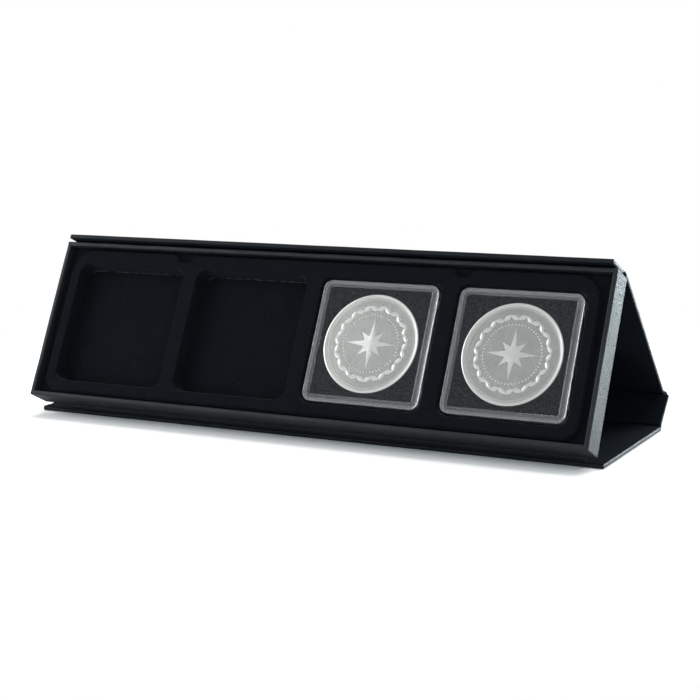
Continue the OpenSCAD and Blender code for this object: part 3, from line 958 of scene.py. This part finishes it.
# %% [markdown]
# ## The tray's hinge band
# A strip of leatherette ties the tray's lower edge to the front of the base. It is glued
# to both, and bulges a little between them. It crosses a hinge, so it is blended from
# the base to the tray like the joints above.

# %% Hinge band
band_t, band_edge_r, band_inset = 0.3, 0.1, 4.0
glued_on_base, glued_on_tray = 1.0, 0.9
foot_inset = 0.3
bulge = Vector((-0.35, -0.05))
band_steps = 12
front = PANELS["base"] @ Vector((0, panel_extent("base")[1], panel_t)) / MM


def band_line():
    """Middle line of the band in (y, z): glued edge, bulge, glued edge."""
    foot = Vector((front.y + foot_inset, front.z))
    head = Vector((tray_corner.y, tray_corner.z))
    up_tray = Vector((math.cos(tray_angle), math.sin(tray_angle)))
    shares = [k / band_steps for k in range(band_steps + 1)]
    bulging = [foot.lerp(head, t) + bulge * math.sin(math.pi * t) for t in shares]
    return [foot + Vector((glued_on_base, 0))] + bulging + [head + up_tray * glued_on_tray]


line = band_line()
rings = []
for i, p in enumerate(line):
    ahead = (line[min(i + 1, len(line) - 1)] - line[max(i - 1, 0)]).normalized()
    outward = Vector((ahead.y, -ahead.x))
    rings.append(slab_slice(tray_l / 2 - band_inset, 0, band_t, band_edge_r,
                            lambda x, z: Vector((x, *(p + outward * (z - band_t))))))
band = finish_piece("tray_hinge_band", solid(*skin(rings)), Matrix.Scale(MM, 4), None, [cover_leather],
                    ["tray_hinge_strip"])
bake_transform(band)

# %% [markdown]
# ## Clear capsules
# A capsule is two shallow dishes of clear plastic. The base has four small tabs, which
# snap into the cover. In clear plastic every step and wall shows as a line of light, so
# the real section matters more than any setting of the shader. Both halves are one
# stack of rounded squares each, stepping in and out along the section. The window is
# polished, and the border round it is a little hazy, as it leaves the mould.

# %% Capsule outline
capsule_low, capsule_high = measure("third_capsule_base", TRAY)
capsule_w = capsule_high.y - capsule_low.y
capsule_r = 3.4
capsule_t = measure("third_capsule_cover", TRAY)[1].z - third.z
seam_z = capsule_high.z - capsule_low.z
tab_y, tab_w, tab_ramp = 17.0, 2.6, 0.35
corner_steps = 8
print(f"capsule {capsule_w:.1f} mm square, {capsule_t:.1f} mm thick")


def capsule_ring(inset, z, tab=0.0):
    """A rounded square with room for two tabs on its right and left, which tab pushes out."""
    a = capsule_w / 2 - inset
    r = max(capsule_r - inset, 0.5)
    ramp = [(-tab_w / 2 - tab_ramp, 0), (-tab_w / 2, tab), (tab_w / 2, tab), (tab_w / 2 + tab_ramp, 0)]
    right = [Vector((a + push, s * tab_y + along, z)) for s in (-1, 1) for along, push in ramp]
    ring = list(right)
    for turn, (cx, cy) in enumerate(((a - r, a - r), (r - a, a - r), (r - a, r - a), (a - r, r - a))):
        for k in range(corner_steps + 1):
            angle = math.radians(90 * turn + 90 * k / corner_steps)
            ring.append(Vector((cx + r * math.cos(angle), cy + r * math.sin(angle), z)))
        if turn == 1:
            ring += [Vector((-p.x, -p.y, z)) for p in right]
    return ring


# %% The two halves of a capsule
lip = 0.12
floor_z = 1.0
base_wall = 1.2
cover_low, skirt_low = seam_z + 0.05, 1.05
skirt_outer, skirt_inner = 1.35, 2.35
plate_low = capsule_t - 0.9
window_inset = 2.6
window_slope = [(2.7, 0.3), (2.55, 0.24), (2.38, 0.05), (2.2, 0)]
soft = 0.5


def round_edge(inset, z, r, rising):
    """Points of a quarter round edge as (inset, z), from the flat face to the side."""
    return [(inset + r - r * math.sin(a), z + (r - r * math.cos(a)) * rising) for a in quarter(4)]


def capsule_base():
    section = [(i, z, 0) for i, z in round_edge(0, 0, soft, 1)]
    tab_low, tab_high = seam_z - 1.2, seam_z - lip
    section += [(0, tab_low - 0.15, 0), (0, tab_low, 0.4), (0, tab_high, 0.42), (lip, seam_z, 0.25)]
    section += [(base_wall - lip, seam_z, 0), (base_wall, seam_z - lip, 0), (base_wall, floor_z + 0.25, 0),
                (base_wall + 0.25, floor_z, 0)]
    return solid(*skin([capsule_ring(*s) for s in section]))


def capsule_cover():
    section = [(inset, capsule_t - depth) for inset, depth in window_slope]
    section += round_edge(0, capsule_t, soft, -1)
    section += [(0, cover_low + lip), (lip, cover_low), (skirt_outer, cover_low)]
    section += [(skirt_outer, skirt_low + lip), (skirt_outer + lip, skirt_low)]
    section += [(skirt_inner - lip, skirt_low), (skirt_inner, skirt_low + lip)]
    section += [(skirt_inner, plate_low - 0.25), (window_inset, plate_low)]
    return solid(*skin([capsule_ring(*s) for s in section]))


def with_hazy_border(mesh):
    """Gives the faces outside the window the second material."""
    window = capsule_w / 2 - window_inset
    for face in mesh.polygons:
        face.material_index = int(max(abs(face.center.x), abs(face.center.y)) > window)
    return mesh


base_half, cover_half = with_hazy_border(capsule_base()), with_hazy_border(capsule_cover())
for which, seat in SEATS.items():
    place = TRAY @ Matrix.Translation(seat)
    for part, mesh, body in (("base", base_half, "capsule"), ("cover", cover_half, "cover")):
        finish_piece(f"{which}_clear_capsule_{part}", mesh, place, f"{which}_{body}", [clear, moulded],
                     [f"{which}_capsule_{part}"], sharp=60)

# %% [markdown]
# ## Foam rings
# The coin sits in a square of black foam with a round hole. The top has to change from a
# square edge to a round one. Both outlines get the same number of points, paired by
# their angle from the middle, so one skin runs from the one to the other. Foam gives a
# little, and the ring is cut to size.

# %% Foam
foam_low, foam_high = measure("third_foam", TRAY)
foam_w = foam_high.x - foam_low.x
foam_z, foam_top = foam_low.z - third.z, foam_high.z - third.z
foam_floor = 1.3
coin_low, coin_high = measure("third_coin", TRAY)
coin_r = (coin_high.x - coin_low.x) / 2
coin_z = coin_low.z - third.z
coin_t = coin_high.z - coin_low.z
around = 144
hole_r = coin_r + 0.15


def square_by_angle(half, r, z):
    """A rounded square with its points at even angles from the middle."""
    ring = []
    for k in range(around):
        a = 2 * math.pi * k / around
        x, y = abs(math.cos(a)), abs(math.sin(a))
        reach = half / max(x, y)
        inner = half - r
        if min(x, y) * reach > inner:
            b = -(x + y) * inner
            reach = -b + math.sqrt(b * b - 2 * inner * inner + r * r)
        ring.append(Vector((reach * math.cos(a), reach * math.sin(a), z)))
    return ring


def circle(r, z, ragged):
    """A circle with as many points, its radius a little uneven where the foam is cut."""
    ring = []
    for k in range(around):
        a = 2 * math.pi * k / around
        rough = r + ragged * noise.noise(Vector((math.cos(a) * 9, math.sin(a) * 9, z)))
        ring.append(Vector((rough * math.cos(a), rough * math.sin(a), z)))
    return ring


# (inset, corner radius, height) up the sides, then (wider by, height, raggedness) into the hole
foam_sides = [(0.2, 0.8, foam_z), (0, 1.0, foam_z + 0.2), (0, 1.0, foam_top - 0.3), (0.25, 0.8, foam_top)]
foam_hole = [(0.25, foam_top, 0.06), (0.05, foam_top - 0.12, 0.06), (0, foam_top - 0.35, 0.04),
             (0, foam_z + foam_floor, 0)]
foam_rings = [square_by_angle(foam_w / 2 - inset, r, z) for inset, r, z in foam_sides]
foam_rings += [circle(hole_r + wider, z, ragged) for wider, z, ragged in foam_hole]
foam_mesh = solid(*skin(foam_rings))
for which, seat in SEATS.items():
    ring = finish_piece(f"{which}_foam_ring", foam_mesh, TRAY @ Matrix.Translation(seat),
                        f"{which}_capsule", [foam], [f"{which}_foam"])

# %% [markdown]
# ## Silver coins
# A struck coin is round, so its body is a section turned about its middle, with a thin
# raised line and a frosted rim. Round it runs what repeats: a ring of short teeth inside
# the rim, beads, leaves, and the reeded edge. Geometry Nodes suit this: one small form is
# set out round a circle by named inputs, and it can swing left and right in turn. The
# middle holds a plain eight-pointed star with ridges, a pattern as old as compass roses.

# %% A Geometry Nodes tree that sets a form out round a circle
def ring_tree():
    tree = bpy.data.node_groups.new("set_out_round_circle", "GeometryNodeTree")
    inputs = {"Geometry": "NodeSocketGeometry", "Count": "NodeSocketInt", "Radius": "NodeSocketFloat",
              "Swing": "NodeSocketFloat", "Finish": "NodeSocketMaterial"}
    for label, kind in inputs.items():
        tree.interface.new_socket(label, in_out="INPUT", socket_type=kind)
    tree.interface.new_socket("Geometry", in_out="OUTPUT", socket_type="NodeSocketGeometry")
    given = tree.nodes.new("NodeGroupInput").outputs
    ring = tree.nodes.new("GeometryNodeMeshCircle")
    put(tree, ring.inputs["Vertices"], given["Count"])
    put(tree, ring.inputs["Radius"], given["Radius"])
    index = tree.nodes.new("GeometryNodeInputIndex").outputs[0]
    turn = calc(tree, "MULTIPLY", calc(tree, "DIVIDE", index, given["Count"]), 2 * math.pi)
    side = calc(tree, "SUBTRACT", calc(tree, "MULTIPLY", calc(tree, "MODULO", index, 2.0), 2.0), 1.0)
    heading = calc(tree, "ADD", turn, calc(tree, "MULTIPLY", side, given["Swing"]))
    angles = tree.nodes.new("ShaderNodeCombineXYZ")
    put(tree, angles.inputs["Z"], heading)
    rotation = tree.nodes.new("FunctionNodeEulerToRotation")
    put(tree, rotation.inputs[0], angles.outputs[0])
    copies = tree.nodes.new("GeometryNodeInstanceOnPoints")
    put(tree, copies.inputs["Points"], ring.outputs["Mesh"])
    put(tree, copies.inputs["Instance"], given["Geometry"])
    put(tree, copies.inputs["Rotation"], rotation.outputs[0])
    real = tree.nodes.new("GeometryNodeRealizeInstances")
    put(tree, real.inputs[0], copies.outputs[0])
    finish = tree.nodes.new("GeometryNodeSetMaterial")
    put(tree, finish.inputs["Geometry"], real.outputs[0])
    put(tree, finish.inputs["Material"], given["Finish"])
    put(tree, tree.nodes.new("NodeGroupOutput").inputs[0], finish.outputs[0])
    return tree


RING_TREE = ring_tree()
print("tree", RING_TREE.name)


def set_out(mesh, count, radius, swing=0.0):
    """A plain mesh with count copies of mesh round a circle, made by the tree."""
    maker = new_object("maker", mesh)
    modifier = maker.modifiers.new("set_out", "NODES")
    modifier.node_group = RING_TREE
    values = {"Count": count, "Radius": radius, "Swing": swing, "Finish": frosted}
    for item in RING_TREE.interface.items_tree:
        if item.in_out == "INPUT" and item.name in values:
            modifier[item.identifier] = values[item.name]
    depsgraph = bpy.context.evaluated_depsgraph_get()
    result = bpy.data.meshes.new_from_object(maker.evaluated_get(depsgraph))
    bpy.data.objects.remove(maker)
    return result


# %% Small forms of the relief
field_z = coin_t - 0.3
field_r = 17.95
print(f"coin {2 * coin_r:.1f} mm across and {coin_t:.1f} mm thick")


def circle_of(r, z, n):
    return [(r * math.cos(2 * math.pi * k / n), r * math.sin(2 * math.pi * k / n), z) for k in range(n)]


def bar(length, width, height, low):
    """A short bar along x with a rounded back, standing on z = low."""
    side, back = width / 2, width * 0.28
    shoulder, top = low + height * 0.6, low + height
    section = [(-side, low), (-side, shoulder), (-back, top), (back, top), (side, shoulder), (side, low)]
    return solid(*skin([[(x, y, z) for y, z in section] for x in (-length / 2, length / 2)]))


def dome(r, height, low, sides=10):
    """A bead: half a ball with a flat top, standing on z = low."""
    levels = [(1.0, 0), (0.86, 0.5), (0.5, 0.87), (0.12, 1.0)]
    return solid(*skin([circle_of(r * s, low + height * h, sides) for s, h in levels]))


def leaf(length, width, height, low, spans=8):
    """A pointed leaf along y, with a raised midrib and a step at its edge."""
    side = low + height * 0.55
    rings = []
    for k in range(spans + 1):
        t = k / spans
        y = length * (t - 0.5)
        half = max(0.03, width / 2 * math.sin(math.pi * t ** 0.85))
        vein = half * 0.35
        rings.append([(-half, y, low), (-half, y, side), (-vein, y, side - 0.02), (0, y, low + height),
                      (vein, y, side - 0.02), (half, y, side), (half, y, low)])
    return solid(*skin(rings))


def star(long_r, short_r, notch_r, height, low):
    """Eight points, four long and four short, each folded along a ridge."""
    corners = 16
    tip_z, notch_z = low + 0.15, low + 0.05
    rim, foot = [], []
    for k in range(corners):
        a = 2 * math.pi * k / corners
        r = long_r if k % 4 == 0 else short_r if k % 4 == 2 else notch_r
        x, y = r * math.sin(a), r * math.cos(a)
        rim.append(Vector((x, y, tip_z if k % 2 == 0 else notch_z)))
        foot.append(Vector((x, y, low)))
    top = Vector((0, 0, low + height))
    ahead = [(i, (i + 1) % corners) for i in range(corners)]
    faces = [(i, j, corners + j, corners + i) for i, j in ahead]
    faces += [(corners + i, corners + j, 2 * corners) for i, j in ahead]
    faces.append(tuple(reversed(range(corners))))
    return solid(foot + rim + [top], faces)


# %% The coin's body, turned from one section
def coin_section():
    """One face's section as (radius, height over the field), from the raised line outwards."""
    edge = coin_r - 0.02
    line = [(15.92, 0), (15.98, 0.07), (16.14, 0.07), (16.2, 0)]
    step = [(16.95, 0), (17.9, 0), (17.98, 0.1), (18.08, 0.13), (18.22, 0.13), (18.3, 0.07), (18.38, 0.07)]
    rim = [(18.46, 0.22), (18.58, 0.29), (18.8, 0.3), (edge - 0.25, 0.3), (edge - 0.08, 0.24), (edge, 0.1)]
    return line + step + rim


def coin_body():
    """The turned section, with its fields satin and its raised rims frosted."""
    section = coin_section()
    rings = [(r, field_z + h) for r, h in section]
    rings += [(r, coin_t - field_z - h) for r, h in reversed(section)]
    body = solid(*skin([circle_of(r, z, 240) for r, z in rings]))
    for face in body.polygons:
        face.material_index = int(field_r < face.center.xy.length < coin_r - 0.1)
    return body


# %% What is struck on both faces, and the reeded edge
sunk = 0.02
leaf_swing = math.radians(27)
reed_margin = 0.45


def relief():
    """Teeth, a wreath, beads and a star on the upper face."""
    z = field_z - sunk
    return [
        set_out(bar(length=0.72, width=0.27, height=0.16, low=z), count=170, radius=17.5),
        set_out(leaf(length=3.9, width=1.7, height=0.28, low=z), count=30, radius=13.9, swing=leaf_swing),
        set_out(dome(r=0.34, height=0.22, low=z), count=54, radius=11.2),
        star(long_r=9.8, short_r=6.4, notch_r=2.9, height=0.34, low=z),
    ]


def turned_over(mesh):
    """A copy of the relief for the lower face."""
    back = mesh.copy()
    back.transform(Matrix.Translation((0, 0, coin_t)) @ Matrix.Rotation(math.pi, 4, "X"))
    return back


front_relief = relief()
reed = bar(length=0.16, width=0.315, height=coin_t - 2 * reed_margin, low=reed_margin)
reeds = set_out(reed, count=150, radius=coin_r - 0.06)
struck = front_relief + [turned_over(m) for m in front_relief]
coin_mesh = joined([(coin_body(), None), (reeds, 0)] + [(m, 1) for m in struck])
for which, seat in SEATS.items():
    place = TRAY @ Matrix.Translation(seat + Vector((0, 0, coin_z)))
    finish_piece(f"{which}_silver_coin", coin_mesh, place, f"{which}_coin_body", [satin, frosted],
                 [f"{which}_coin"], sharp=35)

# %% [markdown]
# ## Light, floor and background
# Black on white is lit from around rather than from the front. The world is a plain tent
# of light, dimmer overhead, so that silver and leatherette have something to mirror. One
# large lamp stands behind on the right and gives the end of the tray its grey sheen. Two
# weak ones on the left brighten the coins, and a broad sun high behind casts the soft
# shadow. The camera sees the world as plain white, and the floor fades to the same white
# round the case, so that only the shadow is left.

# %% World
world = bpy.data.worlds.new("tent")
bpy.context.scene.world = world
world.use_nodes = True
tree = world.node_tree
tree.nodes.clear()
path = tree.nodes.new("ShaderNodeLightPath")
towards = tree.nodes.new("ShaderNodeSeparateXYZ")
put(tree, towards.inputs[0], tree.nodes.new("ShaderNodeTexCoord").outputs["Generated"])
horizon, overhead = 0.95, 0.5
tent = fit(tree, towards.outputs["Z"], 0.0, 0.6, horizon, overhead)
seen = calc(tree, "MAXIMUM", tent, path.outputs["Is Camera Ray"])
sky = tree.nodes.new("ShaderNodeBackground")
sky.inputs["Color"].default_value = (1, 1, 1, 1)
put(tree, sky.inputs["Strength"], seen)
put(tree, tree.nodes.new("ShaderNodeOutputWorld").inputs["Surface"], sky.outputs[0])
print("world", world.name)


# %% Lamps
def lamp(name, at, towards_point, size, radiance, colour):
    """A soft lamp. Its power follows from how bright its face should look."""
    light = bpy.data.lights.new(name, "AREA")
    light.shape = "RECTANGLE"
    light.size, light.size_y = size
    light.energy = radiance * math.pi * size[0] * size[1]
    light.color = colour
    obj = new_object(name, light)
    obj.location = at
    obj.rotation_mode = "QUATERNION"
    obj.rotation_quaternion = (Vector(towards_point) - Vector(at)).to_track_quat("-Z", "Y")
    obj.visible_camera = False
    print(f"{name}: {light.energy:.1f} W")


middle = (0, 0, 0.03)
tray_end = (0.119, 0, 0.03)
cool, warm = (0.84, 0.95, 1.0), (1.0, 1.0, 0.98)
lamp("back_right_lamp", (0.95, 1.50, 0.17), tray_end, size=(1.2, 0.34), radiance=20.0, colour=cool)
lamp("left_lamp", (-1.15, -0.42, 0.42), middle, size=(0.66, 0.66), radiance=2.1, colour=warm)
lamp("upper_left_lamp", (-0.80, -0.50, 0.56), middle, size=(0.54, 0.54), radiance=2.2, colour=warm)

sun = new_object("high_back_sun", bpy.data.lights.new("high_back_sun", "SUN"))
sun.data.energy = 2.1
sun.data.angle = math.radians(55)
sun.rotation_euler = (math.radians(-32), math.radians(6), 0)

# %% Floor
floor_half, floor_drop = 3.0, 0.0001
fade_start, fade_end = 0.2, 0.3
floor_mesh = bpy.data.meshes.new("floor")
corners = [(x * floor_half, y * floor_half, -floor_drop) for x, y in ((-1, -1), (1, -1), (1, 1), (-1, 1))]
floor_mesh.from_pydata(corners, [], [(0, 1, 2, 3)])
floor = new_object("floor", floor_mesh)


def add_shaders(tree, first, second):
    node = tree.nodes.new("ShaderNodeAddShader")
    put(tree, node.inputs[0], first)
    put(tree, node.inputs[1], second)
    return node.outputs[0]


def pale_floor():
    """Pale board to every ray but the camera's, which sees it shaded and faded to white."""
    material, tree, shader, at = new_material("pale_floor", Base_Color=(0.82, 0.82, 0.82, 1), Roughness=0.3)
    glow = tree.nodes.new("ShaderNodeEmission")
    glow.inputs["Color"].default_value = (0.03, 0.05, 0.06, 1)
    shade = tree.nodes.new("ShaderNodeBsdfDiffuse")
    shade.inputs["Color"].default_value = (0.62, 0.62, 0.62, 1)
    twice = add_shaders(tree, shade.outputs[0], shade.outputs[0])
    near = add_shaders(tree, glow.outputs[0], twice)
    white = tree.nodes.new("ShaderNodeEmission").outputs[0]
    distance = tree.nodes.new("ShaderNodeVectorMath")
    distance.operation = "LENGTH"
    put(tree, distance.inputs[0], at)
    faded = fit(tree, distance.outputs["Value"], fade_start, fade_end, 0.0, 1.0)
    camera_ray = tree.nodes.new("ShaderNodeLightPath").outputs["Is Camera Ray"]
    show(tree, mix_shaders(tree, camera_ray, shader.outputs[0], mix_shaders(tree, faded, near, white)))
    return material


floor_mesh.materials.append(pale_floor())
bpy.context.scene.view_settings.view_transform = "Standard"
print("floor", floor_mesh.materials[0].name)
